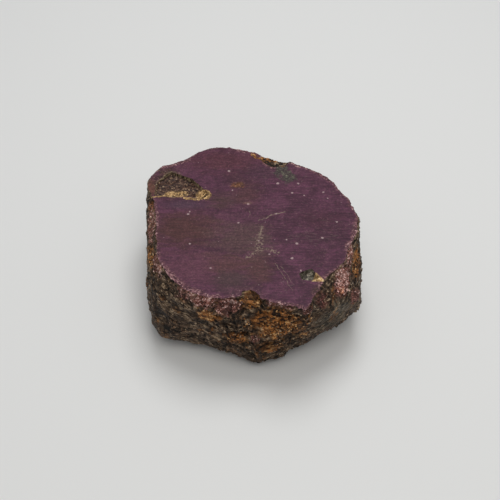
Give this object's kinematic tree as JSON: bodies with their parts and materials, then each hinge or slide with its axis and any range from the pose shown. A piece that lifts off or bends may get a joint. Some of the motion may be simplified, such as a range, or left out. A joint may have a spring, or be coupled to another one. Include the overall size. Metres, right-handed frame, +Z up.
{
  "type": "rough ruby",
  "caption": "Thick six-sided rough ruby crystal, sawn flat across the top, with a rough mica rind round its sides and underside.",
  "frame": {"origin": "middle of the stone's plan, on the surface that it rests on", "axes": "+Z up, square to the sawn face; -Y towards the stone's front corner; +X to the right as seen from the front"},
  "size_m": [0.0518, 0.0556, 0.022],
  "materials": {
    "rough_ruby": "matt sawn corundum, dark granular rind"
  },
  "bodies": {
    "root": {"rough_ruby": "rough_ruby"}
  },
  "joints": []
}
